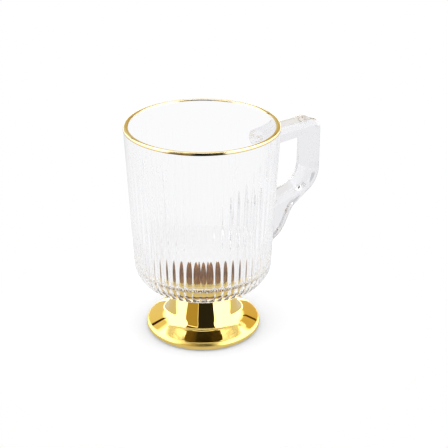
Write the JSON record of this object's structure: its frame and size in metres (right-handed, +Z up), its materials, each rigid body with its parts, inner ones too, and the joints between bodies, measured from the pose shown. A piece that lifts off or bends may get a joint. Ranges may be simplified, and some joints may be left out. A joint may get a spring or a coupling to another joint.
{
  "type": "footed glass mug",
  "caption": "Clear fluted glass mug with a fused side handle, a gold lustre lip and a mirror gold pedestal foot.",
  "frame": {"origin": "on the bowl's axis, in the plane of the ring that the foot stands on", "axes": "+Z up along the bowl's axis, +X towards the handle, +Y across the handle"},
  "size_m": [0.1203, 0.0802, 0.1155],
  "materials": {
    "clear_glass": "clear pressed glass, fire polished",
    "gold_plating": "mirror gold plating",
    "gold_lustre": "burnished gold lustre, fired on"
  },
  "bodies": {
    "root": {"bowl": "clear_glass", "handle": "clear_glass", "foot_core": "clear_glass", "foot_plating": "gold_plating", "rim_band": "gold_lustre"}
  },
  "joints": []
}
